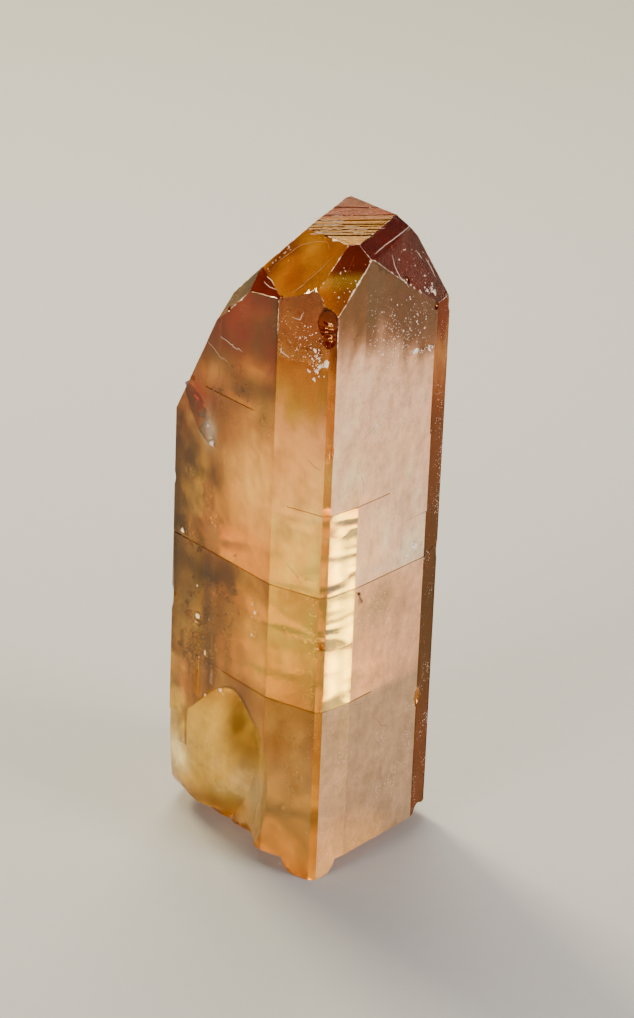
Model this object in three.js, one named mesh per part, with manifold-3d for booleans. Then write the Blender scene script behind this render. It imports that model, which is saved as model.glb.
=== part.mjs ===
// One imperial topaz crystal, broken off its rock along the perfect basal cleavage and standing on the break.
// Millimetres. +Z runs up the crystal's c axis, +X along its a axis and +Y along its b axis.
// The origin is under the middle of the prism, on the plane that the crystal rests on.
import * as THREE from 'three';
import { mergeVertices } from 'three/addons/utils/BufferGeometryUtils.js';
import Module from 'manifold-3d';

const wasm = await Module();
wasm.setup();

// ---- Driving dimensions ----------------------------------------------------------------------------------

const cellRatio = { a: 0.5285, b: 1, c: 0.9539 };   // edges of the unit cell, which fix every face's slope
const crystalHeight = 45.2;                          // resting face to the highest terrace of the top
const footHeight = 1.05;                             // how far the last cleavage sheet stands below the rim
const footSlope = 0.9;                               // how far that sheet's edge runs in on its way down

// Prism faces in order round the crystal, anticlockwise from the front: Miller index, distance from the axis,
// the few degrees by which the face turns off its ideal direction, and how many growth striations it has.
const prismFaces = [
  { index: [0, -1, 0], distance: 9.98, turn: 0, striae: 0 },      // narrow front face
  { index: [1, -2, 0], distance: 7.94, turn: -7.2, striae: 0 },   // vicinal strip beside it
  { index: [1, -2, 0], distance: 7.45, turn: 0, striae: 0 },      // broad right front face
  { index: [1, -1, 0], distance: 8.16, turn: -0.6, striae: 0 },
  { index: [1, 1, 0], distance: 7.92, turn: 0, striae: 7 },
  { index: [1, 2, 0], distance: 8.27, turn: 0, striae: 6 },
  { index: [0, 1, 0], distance: 9.98, turn: 0, striae: 3 },       // back face
  { index: [-1, 2, 0], distance: 10.08, turn: 0, striae: 3 },
  { index: [-1, 1, 0], distance: 9.36, turn: 0, striae: 6 },
  { index: [-1, -1, 0], distance: 6.70, turn: 0.5, striae: 1 },   // broad left front face
  { index: [-1, -2, 0], distance: 7.81, turn: 0.5, striae: 0 },
];

// Faces of the upper end: Miller index, distance from the origin, turn about the axis and lean upwards.
const topFaces = [
  { index: [-1, -1, 2], distance: 33.29, turn: 0, lean: -1.0 },   // large golden front left pyramid
  { index: [-1, 1, 2], distance: 31.28, turn: 0, lean: 0 },       // large back left pyramid
  { index: [-1, 0, 1], distance: 24.48, turn: 0, lean: 0 },       // narrow left dome between them
  { index: [1, -1, 2], distance: 35.20, turn: -0.4, lean: 0.2 },
  { index: [1, 1, 2], distance: 34.46, turn: 0.1, lean: 0 },
  { index: [1, -1, 1], distance: 24.99, turn: 0, lean: 0.5 },     // steep right front pyramid
  { index: [1, 1, 1], distance: 24.15, turn: 0, lean: 0 },
  { index: [-1, 1, 1], distance: 21.75, turn: 0, lean: 0 },       // steep back left pyramid
  { index: [0, -2, 1], distance: 27.88, turn: 0, lean: 0 },       // front dome
  { index: [0, 2, 1], distance: 27.55, turn: 0, lean: 0 },        // back dome
];

// Growth channels of the top plane, which run nearly along the a axis: the y of their middle where they cross
// the YZ plane, their slant in degrees, width and depth.
const topChannels = [
  { y: 0.7, slant: -1.5, width: 0.3, depth: 0.03 },
  { y: -1.2, slant: 1.2, width: 0.25, depth: 0.03 },
  { y: -2.35, slant: 1.5, width: 0.35, depth: 0.05 },
  { y: -3.15, slant: -1.0, width: 0.3, depth: 0.06 },
  { y: -3.75, slant: 2.0, width: 0.22, depth: 0.05 },
  { y: -4.4, slant: 0.5, width: 0.3, depth: 0.07 },
  { y: -5.0, slant: -1.4, width: 0.2, depth: 0.05 },
  { y: -5.65, slant: -0.6, width: 0.28, depth: 0.12 },
];

const striaDepth = 0.045;       // growth striations run up the prism as shallow channels of about this depth

// Cleavage cracks that reach the surface: height, and the prism faces that they cross with the stretch of each.
const cleavageCracks = [
  { level: 21.15, outcrops: prismFaces.map((face, i) => [i, -0.05, 1.05]) },
  { level: 12.75, outcrops: [[9, 0.55, 1.05], [10, -0.05, 1.05], [0, -0.5, 1.5], [1, -0.05, 1.05], [2, -0.05, 0.3]] },
  { level: 27.1, outcrops: [[10, 0.3, 1.05], [0, -0.5, 1.5], [1, -0.05, 1.05], [2, -0.05, 0.45]] },
  { level: 32.9, outcrops: [[9, 0.3, 0.8]] },
  { level: 30.4, outcrops: [[5, 0.2, 1.05], [6, -0.05, 0.7]] },
  { level: 15.9, outcrops: [[7, 0.1, 0.9], [8, -0.05, 0.35]] },
];
const crackOpening = 0.07;
const crackDepth = 0.1;

// The break of the lower left front, placed by the distance along the broad left face from its far edge and by
// height: the bulge that it leaves, with radii along the face, up and into it, and the shell-shaped hollow
// round the bulge, cut by a ball whose centre stands out from the face.
const breakBulge = { along: 1.5, height: 7.3, radii: new THREE.Vector3(6.3, 13.6, 4.7) };
const breakHollow = { along: 3.5, height: 5.6, standOut: 10.3, radius: 13.3 };

const cutterSize = 120;         // larger than the crystal every way

// ---- Faces as planes -------------------------------------------------------------------------------------

function faceNormal({ index: [h, k, l], turn = 0, lean = 0 }) {
  const ideal = new THREE.Vector3(h / cellRatio.a, k / cellRatio.b, l / cellRatio.c).normalize();
  const azimuth = Math.atan2(ideal.y, ideal.x) + THREE.MathUtils.degToRad(turn);
  const elevation = Math.asin(ideal.z) + THREE.MathUtils.degToRad(lean);
  const level = Math.cos(elevation);
  return new THREE.Vector3(level * Math.cos(azimuth), level * Math.sin(azimuth), Math.sin(elevation));
}

// The corner where two upright faces meet, seen in plan.
function planCorner(faceA, faceB) {
  const a = faceNormal(faceA);
  const b = faceNormal(faceB);
  const cross = a.x * b.y - a.y * b.x;
  const x = (faceA.distance * b.y - faceB.distance * a.y) / cross;
  const y = (faceB.distance * a.x - faceA.distance * b.x) / cross;
  return new THREE.Vector2(x, y);
}

// A small repeatable source of irregularity, so every build gives the same stone.
function irregular(seed) {
  let state = seed;
  return () => {
    state = (state * 1664525 + 1013904223) % 4294967296;
    return state / 4294967296;
  };
}

// ---- Solids ----------------------------------------------------------------------------------------------

function solidOf(geometry, matrix = new THREE.Matrix4()) {
  const bare = geometry.clone().applyMatrix4(matrix);
  bare.deleteAttribute('normal');
  bare.deleteAttribute('uv');
  const merged = mergeVertices(bare, 1e-5);
  return new wasm.Manifold(new wasm.Mesh({
    numProp: 3,
    vertProperties: new Float32Array(merged.attributes.position.array),
    triVerts: new Uint32Array(merged.index.array),
  }));
}

// A block whose one face lies on a plane and which fills everything on the plane's outer side.
function beyondPlane(normal, distance) {
  const facing = new THREE.Quaternion().setFromUnitVectors(new THREE.Vector3(0, 0, 1), normal);
  const centre = normal.clone().multiplyScalar(distance + cutterSize / 2);
  const place = new THREE.Matrix4().compose(centre, facing, new THREE.Vector3(1, 1, 1));
  return solidOf(new THREE.BoxGeometry(cutterSize, cutterSize, cutterSize), place);
}

// The same, for the plane through three points listed anticlockwise as seen from outside.
function beyondPoints(p, q, r) {
  const plane = new THREE.Plane().setFromCoplanarPoints(p, q, r);
  return beyondPlane(plane.normal, -plane.constant);
}

function box(low, high) {
  const size = high.clone().sub(low);
  const middle = low.clone().add(high).multiplyScalar(0.5);
  const place = new THREE.Matrix4().makeTranslation(middle.x, middle.y, middle.z);
  return solidOf(new THREE.BoxGeometry(size.x, size.y, size.z), place);
}

// A shell-shaped scoop: an ellipsoid placed by its centre, its three radii and a turn about Z.
function scoop({ at, radii, turn = 0 }) {
  const facing = new THREE.Quaternion().setFromEuler(new THREE.Euler(0, 0, THREE.MathUtils.degToRad(turn)));
  const place = new THREE.Matrix4().compose(
    new THREE.Vector3(...at), facing, new THREE.Vector3(...radii));
  return solidOf(new THREE.SphereGeometry(1, 18, 12), place);
}

function extrudedUp(outline, bottom, top) {
  const geometry = new THREE.ExtrudeGeometry(new THREE.Shape(outline), { depth: top - bottom, bevelEnabled: false });
  return solidOf(geometry, new THREE.Matrix4().makeTranslation(0, 0, bottom));
}

// ---- The prism -------------------------------------------------------------------------------------------

// One side of the plan outline, with shallow channels that become growth striations when it is extruded.
function striatedSide(start, end, channels, chance) {
  const along = end.clone().sub(start);
  const length = along.length();
  along.divideScalar(length);
  const inward = new THREE.Vector2(-along.y, along.x);
  const point = (distance, depth) => start.clone()
    .addScaledVector(along, distance)
    .addScaledVector(inward, depth);
  const points = [start.clone()];
  const pitch = length / (channels + 1);
  for (let i = 0; i < channels; i += 1) {
    const from = pitch * (i + 0.55 + 0.3 * chance());
    const to = from + pitch * (0.25 + 0.4 * chance());
    const depth = striaDepth * (0.5 + chance());
    points.push(point(from, 0), point(from + depth, depth), point(to, depth), point(to + depth, 0));
  }
  return points;
}

function prismOutline() {
  const chance = irregular(11);
  const corners = prismFaces.map((face, i) => planCorner(prismFaces.at(i - 1), face));
  return corners.flatMap((corner, i) => {
    const next = corners[(i + 1) % corners.length];
    return striatedSide(corner, next, prismFaces[i].striae, chance);
  });
}

// ---- The upper end ---------------------------------------------------------------------------------------

function topFaceCutters() {
  return topFaces.map((face) => beyondPlane(faceNormal(face), face.distance));
}

function topChannelCutters() {
  return topChannels.map(({ y, slant, width, depth }) => {
    const place = new THREE.Matrix4().makeRotationZ(THREE.MathUtils.degToRad(slant));
    place.setPosition(0, y, crystalHeight);
    return solidOf(new THREE.BoxGeometry(cutterSize, width, 2 * depth), place);
  });
}

// A three-sided truncation where the two left pyramids meet the broad left face.
function leftShoulderCutter() {
  return beyondPoints(
    new THREE.Vector3(-3.62, -7.35, 41.42),
    new THREE.Vector3(-4.42, -3.75, 42.44),
    new THREE.Vector3(-5.15, -4.55, 41.05));
}

function upperEnd(body) {
  let solid = body;
  for (const cutter of [...topFaceCutters(), ...topChannelCutters(), leftShoulderCutter()]) {
    solid = solid.subtract(cutter);
  }
  return solid;
}

// ---- The broken lower end --------------------------------------------------------------------------------

// Outline of the flat that the crystal stands on, under the last cleavage sheet. It reaches the prism's own
// faces only at the front corner.
function footOutline() {
  const corners = [
    [-1.5, -9.2], [-1.15, -9.75], [-0.5, -10.1], [-0.05, -9.95], [0.3, -9.3],
    [0.7, -6.6], [2.6, -3.4], [4.9, -1.2], [6.0, 1.4], [5.4, 4.3],
    [2.8, 6.9], [-1.8, 7.7], [-5.2, 5.9], [-6.2, 2.6], [-4.6, -0.9], [-2.6, -3.6], [-1.6, -6.6],
  ].map(([x, y]) => new THREE.Vector2(x, y));
  return new THREE.SplineCurve([...corners, corners[0]]).getPoints(corners.length * 3).slice(0, -1);
}

// Takes away the sheet's height everywhere but on the foot, whose edge curves inwards like a shell break.
function footCutter() {
  const reach = footHeight + 1;
  const foot = new THREE.ExtrudeGeometry(new THREE.Shape(footOutline()), {
    depth: reach,
    bevelEnabled: true,
    bevelThickness: footHeight,
    bevelSize: footSlope,
    bevelSegments: 3,
  });
  const place = new THREE.Matrix4().makeTranslation(0, 0, footHeight);
  const slab = box(new THREE.Vector3(-20, -20, -5), new THREE.Vector3(20, 20, footHeight));
  return slab.subtract(solidOf(foot, place));
}

// The lower left front broke back to a smooth bulge. A hollow falls away from the bulge into a re-entrant groove
// and climbs from there to the front column, whose left edge it just cuts.
function lobeRecessCutter() {
  const corner = planCorner(prismFaces.at(8), prismFaces.at(9));
  const outward = faceNormal(prismFaces.at(9));
  const along = new THREE.Vector3(-outward.y, outward.x, 0);
  const onFace = (u, z, standOut) => new THREE.Matrix4()
    .makeBasis(along, new THREE.Vector3(0, 0, 1), outward)
    .setPosition(new THREE.Vector3(corner.x, corner.y, z)
      .addScaledVector(along, u)
      .addScaledVector(outward, standOut));
  const crest = new THREE.SplineCurve([
    [-3, 7.2], [1.6, 7.9], [4.4, 10.4], [6.8, 11.7], [8.4, 11.6], [10.2, 10.2], [13, 9.2],
  ].map(([u, z]) => new THREE.Vector2(u, z))).getPoints(24);
  const outline = [...crest, new THREE.Vector2(13, -3), new THREE.Vector2(-3, -3)];
  const panel = new THREE.ExtrudeGeometry(new THREE.Shape(outline), { depth: 8, bevelEnabled: false });
  const hollow = onFace(breakHollow.along, breakHollow.height, breakHollow.standOut);
  const bulge = onFace(breakBulge.along, breakBulge.height, -breakBulge.radii.z);
  bulge.scale(breakBulge.radii);
  return solidOf(panel, onFace(0, 0, -5))
    .intersect(solidOf(new THREE.SphereGeometry(breakHollow.radius, 96, 64), hollow))
    .subtract(solidOf(new THREE.SphereGeometry(1, 64, 44), bulge));
}

// The rounded lower left corner: four flats that follow the curve of the break.
function lobeCornerCutters() {
  const flats = [
    { elevation: -14, through: [-9.12, 2.7, 3.8] },
    { elevation: -32, through: [-9.0, 2.4, 2.75] },
    { elevation: -50, through: [-8.55, 1.7, 1.85] },
    { elevation: -68, through: [-7.8, 0.5, 1.25] },
  ];
  const azimuth = THREE.MathUtils.degToRad(197);
  return flats.map(({ elevation, through }) => {
    const tilt = THREE.MathUtils.degToRad(elevation);
    const normal = new THREE.Vector3(
      Math.cos(tilt) * Math.cos(azimuth), Math.cos(tilt) * Math.sin(azimuth), Math.sin(tilt));
    return beyondPlane(normal, normal.dot(new THREE.Vector3(...through)));
  });
}

function lowerEnd(body) {
  let solid = body.subtract(lobeRecessCutter());
  for (const cutter of lobeCornerCutters()) {
    solid = solid.subtract(cutter);
  }
  return solid.subtract(footCutter());
}

// ---- Chips, ledges and cracks ----------------------------------------------------------------------------

const shellChips = [
  // the chipped top of the front edge: three overlapping shells
  { at: [-1.25, -10.1, 40.45], radii: [1.15, 0.85, 1.35], turn: -12 },
  { at: [-1.0, -10.15, 39.55], radii: [0.8, 0.7, 0.85], turn: 10 },
  { at: [-1.75, -9.75, 39.25], radii: [0.7, 0.6, 0.7], turn: -20 },
  // nicks along the edges of the upper end
  { at: [-3.8, -7.35, 41.5], radii: [0.35, 0.3, 0.25], turn: 30 },
  { at: [-5.5, -4.2, 41.2], radii: [0.4, 0.3, 0.25], turn: 45 },
  { at: [-6.5, -2.2, 39.2], radii: [0.3, 0.45, 0.3], turn: 20 },
  { at: [1.45, -7.95, 45.3], radii: [0.3, 0.25, 0.2], turn: 0 },
  { at: [4.95, -1.6, 45.35], radii: [0.35, 0.5, 0.3], turn: 15 },
  { at: [4.2, 0.9, 45.45], radii: [0.3, 0.7, 0.35], turn: 30 },
  { at: [5.3, -5.3, 41.95], radii: [0.5, 0.45, 0.35], turn: 42 },
  { at: [7.85, -2.95, 39.4], radii: [0.35, 0.35, 0.45], turn: 0 },
  { at: [9.25, -0.4, 38.7], radii: [0.3, 0.4, 0.6], turn: 10 },
  // small losses down the upright edges
  { at: [-0.5, -10.2, 17.6], radii: [0.45, 0.35, 0.4], turn: 0 },
  { at: [-0.3, -10.25, 31.6], radii: [0.4, 0.35, 0.7], turn: 0 },
  { at: [7.95, -3.0, 10.4], radii: [0.55, 0.5, 0.9], turn: 40 },
  { at: [9.3, -0.2, 20.6], radii: [0.35, 0.4, 0.8], turn: 0 },
  { at: [-9.35, 2.85, 16.2], radii: [0.4, 0.5, 1.1], turn: 20 },
  { at: [-9.4, 2.9, 25.2], radii: [0.4, 0.45, 0.7], turn: 0 },
  { at: [-3.95, -7.5, 22.9], radii: [0.35, 0.35, 0.8], turn: 30 },
  { at: [5.0, 7.0, 12.2], radii: [0.8, 0.7, 1.3], turn: 45 },
  { at: [-4.2, 10.2, 28.5], radii: [0.9, 0.45, 1.2], turn: 0 },
  // shells broken from the lower rim
  { at: [8.7, -1.9, 0.6], radii: [0.9, 1.4, 0.95], turn: -20 },
  { at: [9.0, 2.1, 0.4], radii: [0.8, 1.8, 1.3], turn: 20 },
  { at: [6.3, 6.2, 0.2], radii: [2.4, 1.2, 2.1], turn: -40 },
  { at: [0.6, 10.3, 0.3], radii: [2.8, 1.1, 1.9], turn: 0 },
  { at: [-6.9, 7.6, 0.3], radii: [2.0, 1.2, 2.6], turn: 48 },
];

// Low growth ledges, where a thin layer of a prism face is missing: the face, the layer's thickness, the heights
// between which it is missing, and the stretch of the face from one corner (0) to the next (1). A wedge is
// missing nothing at its start and the full thickness at its end.
const growthLedges = [
  { face: 2, thickness: 0.12, from: 36.6, to: 46, start: 0.5, end: 1.05, wedge: true },
  { face: 2, thickness: 0.06, from: 24.5, to: 30.2, start: 0.7, end: 1.05, wedge: true },
  { face: 10, thickness: 0.08, from: 38.4, to: 46, start: 0.1, end: 0.85, wedge: true },
  { face: 5, thickness: 0.14, from: 20.5, to: 46, start: 0.3, end: 1.02 },
  { face: 6, thickness: 0.16, from: 11.0, to: 31.0, start: 0.25, end: 0.7 },
  { face: 6, thickness: 0.1, from: 31.0, to: 46, start: -0.02, end: 0.45 },
  { face: 7, thickness: 0.12, from: 6.2, to: 17.5, start: 0.15, end: 0.8 },
  { face: 8, thickness: 0.13, from: 17.0, to: 33, start: 0.2, end: 0.75 },
  { face: 4, thickness: 0.13, from: 14.0, to: 27, start: 0.4, end: 0.9 },
];

function ledgeCutter({ face, thickness, from, to, start, end, wedge = false }) {
  const first = planCorner(prismFaces.at(face - 1), prismFaces.at(face));
  const last = planCorner(prismFaces.at(face), prismFaces.at((face + 1) % prismFaces.length));
  const outward = faceNormal(prismFaces.at(face));
  const inside = new THREE.Vector2(outward.x, outward.y).multiplyScalar(-thickness);
  const outside = new THREE.Vector2(outward.x, outward.y).multiplyScalar(2);
  const a = first.clone().lerp(last, start);
  const b = first.clone().lerp(last, end);
  const corners = [a.clone().add(outside), b.clone().add(outside), b.clone().add(inside)];
  return extrudedUp(wedge ? [a, ...corners] : [a.clone().add(inside), ...corners], from, to);
}

// A cleavage crack opens as a hair-wide slot along each face that it crosses.
function crackCutters({ level, outcrops }) {
  return outcrops.map(([face, start, end]) => ledgeCutter({
    face, start, end,
    thickness: crackDepth,
    from: level - crackOpening / 2,
    to: level + crackOpening / 2,
  }));
}

function weathered(body) {
  const cutters = [
    ...shellChips.map(scoop),
    ...growthLedges.map(ledgeCutter),
    ...cleavageCracks.flatMap(crackCutters),
  ];
  return cutters.reduce((solid, cutter) => solid.subtract(cutter), body);
}

// ---- The crystal -----------------------------------------------------------------------------------------

function crystalGeometry() {
  const prism = extrudedUp(prismOutline(), 0, crystalHeight);
  const { vertProperties, triVerts } = weathered(lowerEnd(upperEnd(prism))).getMesh();
  const geometry = new THREE.BufferGeometry();
  geometry.setAttribute('position', new THREE.BufferAttribute(new Float32Array(vertProperties), 3));
  geometry.setIndex(new THREE.BufferAttribute(new Uint32Array(triVerts), 1));
  const flat = geometry.toNonIndexed();
  flat.computeVertexNormals();
  return flat;
}

const imperialTopaz = new THREE.MeshStandardMaterial({
  name: 'imperial topaz',
  color: '#c98a45',
  roughness: 0.12,
  metalness: 0,
  flatShading: true,
});

const crystal = new THREE.Mesh(crystalGeometry(), imperialTopaz);
crystal.name = 'topaz_crystal';

const specimen = new THREE.Group();
specimen.name = 'topaz_specimen';
specimen.add(crystal);

export default specimen;
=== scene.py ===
# %% [markdown]
# One imperial topaz crystal, stood on the cleavage break at its lower end. Its solid is loaded first, and
# everything else is placed in its frame: metres, +Z up the crystal, +X along its a axis, +Y along its b
# axis.

# %% Load the frame
import math

import bmesh
import bpy
import numpy as np
from mathutils import Matrix, Vector


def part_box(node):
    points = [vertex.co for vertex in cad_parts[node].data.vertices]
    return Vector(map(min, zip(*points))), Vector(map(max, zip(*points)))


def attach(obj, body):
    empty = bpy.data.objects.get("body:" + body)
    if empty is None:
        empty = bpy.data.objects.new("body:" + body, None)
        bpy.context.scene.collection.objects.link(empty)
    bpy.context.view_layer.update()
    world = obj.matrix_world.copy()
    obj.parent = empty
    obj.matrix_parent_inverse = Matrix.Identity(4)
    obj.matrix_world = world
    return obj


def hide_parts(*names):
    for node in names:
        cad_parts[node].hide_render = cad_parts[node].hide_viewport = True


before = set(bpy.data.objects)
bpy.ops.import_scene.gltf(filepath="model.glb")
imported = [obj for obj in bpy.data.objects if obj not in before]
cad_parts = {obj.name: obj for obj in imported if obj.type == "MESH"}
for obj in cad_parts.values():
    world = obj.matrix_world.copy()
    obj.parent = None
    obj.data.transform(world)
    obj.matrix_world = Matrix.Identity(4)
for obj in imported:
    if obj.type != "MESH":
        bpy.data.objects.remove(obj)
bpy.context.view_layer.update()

mm = 0.001
crystal_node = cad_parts["topaz_crystal"]
low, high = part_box("topaz_crystal")
print("crystal, mm:", [round((b - a) / mm, 1) for a, b in zip(low, high)])


# %% [markdown]
# The camera looks down by some 21 degrees, from a little left of the b axis. A long lens, 23
# centimetres away, keeps the upright edges nearly parallel. Its three directions are written out, because
# it also rolls by about two degrees, so that the crystal seems to lean.

# %% Camera
def place_in_scene(item):
    bpy.context.scene.collection.objects.link(item)
    return item


camera = place_in_scene(bpy.data.objects.new("camera", bpy.data.cameras.new("camera")))
view_forward = Vector((0.1537, 0.9176, -0.3665))
view_right = Vector((0.9879, -0.1507, 0.0370))
view_up = Vector((0.0213, 0.3677, 0.9297))
pose = Matrix((view_right, view_up, -view_forward)).transposed().to_4x4()
pose.translation = Vector((-35.37, -214.39, 109.29)) * mm
camera.matrix_world = pose
camera.data.sensor_fit = "AUTO"
camera.data.sensor_width = 36
camera.data.lens = 118.96
camera.data.clip_start = 10 * mm
bpy.context.scene.camera = camera
print("camera to crystal, mm:", round((pose.translation - Vector((0, 0, high[2] / 2))).length / mm))


# %% [markdown]
# Colours and nodes. Every colour in this file is an sRGB hex value, as a colour picker shows it, and one
# function turns it to the linear values that shaders work in. Another adds a node with its settings and
# links in one call.

# %% Colours and nodes
def linear(code):
    """An sRGB hex colour as linear red, green, blue and alpha."""
    values = [int(code[i:i + 2], 16) / 255 for i in (1, 3, 5)]
    return [v / 12.92 if v <= 0.04045 else ((v + 0.055) / 1.055) ** 2.4 for v in values] + [1.0]


def add(tree, kind, settings=None, **inputs):
    """Add a node. An input is named as on the node, or i0, i1 by its place, and takes a value or a socket."""
    node = tree.nodes.new("ShaderNode" + kind)
    for name, value in (settings or {}).items():
        setattr(node, name, value)
    for name, value in inputs.items():
        key = int(name[1:]) if name[0] == "i" and name[1:].isdigit() else name.replace("_", " ")
        if isinstance(value, bpy.types.NodeSocket):
            tree.links.new(value, node.inputs[key])
        else:
            node.inputs[key].default_value = value
    return node


def new_material(name):
    material = bpy.data.materials.new(name)
    material.use_nodes = True
    material.node_tree.nodes.clear()
    return material, material.node_tree


# %% [markdown]
# Floor and light. The stone stands on a plain surface with a few soft lamps and a dim room round them:
# the lamps and the lit floor are what its faces mirror and bend, and the dim room between them gives the
# dark fields that make it look deep. A bright room all round would wash them out. The glow lamp stands
# behind the stone: a cleavage film mirrors it into the bright band beside the front edge, which only the
# camera's side shows. The floor lamp lights the floor seen through the stone.

# %% Floor and lamps
floor_mesh = bpy.data.meshes.new("floor")
reach = 3.0               # metres from the middle of the floor to its edges
hair = 0.02 * mm          # from the base down to the card, so that they never share a plane
floor_corners = [(reach * x, reach * y, -hair) for x, y in ((-1, -1), (1, -1), (1, 1), (-1, 1))]
floor_mesh.from_pydata(floor_corners, [], [(0, 1, 2, 3)])
floor = place_in_scene(bpy.data.objects.new("floor", floor_mesh))
paper, tree = new_material("matt_floor_card")
grain_place = add(tree, "TexCoord")
card_grain = add(tree, "TexNoise", Vector=grain_place.outputs["Object"], Scale=900.0, Detail=4.0)
card_tone = add(tree, "MixRGB", Fac=card_grain.outputs["Fac"], Color1=linear("#D3D1CE"),
                Color2=linear("#D9D7D4"))
card_bump = add(tree, "Bump", Strength=0.1, Distance=0.05 * mm, Height=card_grain.outputs["Fac"])
card = add(tree, "BsdfPrincipled", Base_Color=card_tone.outputs[0], Roughness=0.8,
           Normal=card_bump.outputs[0])
add(tree, "OutputMaterial", Surface=card.outputs[0])
floor_mesh.materials.append(paper)


def softbox(name, place, target, width, height, power, colour):
    """A soft lamp of the given face, in metres, turned to a target."""
    lamp = bpy.data.lights.new(name, "AREA")
    lamp.shape = "RECTANGLE"
    lamp.size = width
    lamp.size_y = height
    lamp.energy = power
    lamp.color = linear(colour)[:3]
    stand = place_in_scene(bpy.data.objects.new(name, lamp))
    stand.location = place
    stand.rotation_mode = "QUATERNION"
    aim = Vector(target) - Vector(place)
    stand.rotation_quaternion = aim.to_track_quat("-Z", "Y")


middle = (0, 0, 0.022)                  # half way up the crystal
softbox("key_lamp", (-0.44, -0.40, 0.09), middle, 0.24, 0.16, 4.5, "#FFF6EA")
softbox("side_lamp", (0.42, -0.32, 0.10), middle, 0.22, 0.18, 4.0, "#FFFFFF")
softbox("back_lamp", (0.20, 0.87, 0.475), middle, 0.60, 0.26, 1.6, "#FFE4B4")
softbox("glow_lamp", (-0.37, 0.93, 0.485), middle, 0.28, 0.23, 13.0, "#FFF2BC")
softbox("floor_lamp", (-0.01, 0.13, 0.22), (-0.01, 0.10, 0.0), 0.14, 0.14, 0.45, "#FFFAF0")
world = bpy.data.worlds.new("dim_room")
bpy.context.scene.world = world
world.use_nodes = True
room_light = world.node_tree.nodes["Background"].inputs
room_light["Color"].default_value = linear("#C9CDD6")
room_light["Strength"].default_value = 0.14


# %% [markdown]
# The skin of the crystal. The solid has the right planes but only a few huge triangles to each, so it
# can't carry growth steps or etching. Remeshing would round the edges that make a crystal a crystal.
# Cutting a welded copy along evenly spaced planes keeps every plane and edge where it is and gives small
# cells to shape.

# %% A welded copy, cut into small cells
weld = 0.0002 * mm


def merged_copy(node):
    """The node's loose triangles welded into one skin, with coplanar neighbours joined into whole faces."""
    skin = bmesh.new()
    skin.from_mesh(node.data)
    bmesh.ops.remove_doubles(skin, verts=skin.verts, dist=weld)
    bmesh.ops.dissolve_limit(skin, angle_limit=math.radians(0.3), verts=skin.verts, edges=skin.edges)
    return skin


def cut_into_cells(skin, bottom, top, step):
    """Cut the skin inside a box along planes square to each axis in turn, one step apart. Nothing moves."""
    for axis in (2, 0, 1):
        across = Vector([float(i == axis) for i in range(3)])
        for place in np.arange(bottom[axis] + step / 2, top[axis], step):
            faces = [f for f in skin.faces
                     if all(a - step < c < b + step for a, c, b in zip(bottom, f.calc_center_bounds(), top))]
            edges = {e for f in faces for e in f.edges}
            verts = {v for e in edges for v in e.verts}
            bmesh.ops.bisect_plane(skin, geom=[*verts, *edges, *faces], dist=weld,
                                   plane_co=across * place, plane_no=across)


cell = 0.5 * mm
chip_cell = 0.16 * mm
crease = math.radians(11)               # edges sharper than this stay crisp
edge_chip = ((-2.4 * mm, -10.0 * mm, 38.3 * mm), (0.2 * mm, -8.7 * mm, 41.6 * mm))
skin = merged_copy(crystal_node)
cut_into_cells(skin, low, high, cell)
cut_into_cells(skin, *edge_chip, chip_cell)
bmesh.ops.triangulate(skin, faces=skin.faces)
body_mesh = bpy.data.meshes.new("topaz_body")
skin.to_mesh(body_mesh)
skin.free()
body = place_in_scene(bpy.data.objects.new("topaz_body", body_mesh))
body_mesh.shade_smooth()
body_mesh.set_sharp_from_angle(angle=crease)
print("skin cells:", len(body_mesh.polygons))


# %% [markdown]
# Which crystal face each cell belongs to. A face of a crystal is named by three small whole numbers, its
# Miller index, and the unit cell's edges turn those into a direction. A cell belongs to the face whose
# direction its own normal matches and whose plane it lies on; cells that match none lie in a break or a
# chip.

# %% Sort the cells by crystal face
cell_ratio = np.array([0.5285, 1.0, 0.9539])
facets = {
    "front": (0, -1, 0), "front_strip": (1, -2, 0), "broad_right": (1, -2, 0), "right": (1, -1, 0),
    "right_back": (1, 1, 0), "back_right": (1, 2, 0), "back": (0, 1, 0), "back_left": (-1, 2, 0),
    "left_back": (-1, 1, 0), "broad_left": (-1, -1, 0), "left_strip": (-1, -2, 0),
    "gold": (-1, -1, 2), "top_back_left": (-1, 1, 2), "sliver": (-1, 0, 1), "top_right": (1, -1, 2),
    "top_back": (1, 1, 2), "steep_right": (1, -1, 1), "steep_back": (1, 1, 1), "steep_left": (-1, 1, 1),
    "front_dome": (0, -2, 1), "back_dome": (0, 2, 1), "terrace": (0, 0, 1), "underside": (0, 0, -1),
}
strip_turn = math.radians(-7.2)         # how far the front strip is off (1, -2, 0)
names = list(facets)
left_face = names.index("broad_left")


def direction(index, turn=0.0):
    """Unit normal of a face: its Miller index over the cell's edges, turned about the upright axis."""
    x, y, z = np.array(index) / cell_ratio
    x, y = x * math.cos(turn) - y * math.sin(turn), x * math.sin(turn) + y * math.cos(turn)
    return np.array([x, y, z]) / math.hypot(x, y, z)


def mesh_array(items, attribute, width, kind=np.float64):
    values = np.empty(len(items) * width, dtype=kind)
    items.foreach_get(attribute, values)
    return values.reshape(-1, width) if width > 1 else values


normals = np.array([direction(facets[name], strip_turn if name == "front_strip" else 0.0) for name in names])
vertices = mesh_array(body_mesh.vertices, "co", 3) / mm
cell_normal = mesh_array(body_mesh.polygons, "normal", 3)
cell_centre = mesh_array(body_mesh.polygons, "center", 3) / mm
corner_vertex = mesh_array(body_mesh.loops, "vertex_index", 1, np.int32)
corner_cell = np.repeat(np.arange(len(body_mesh.polygons)), 3)

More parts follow.
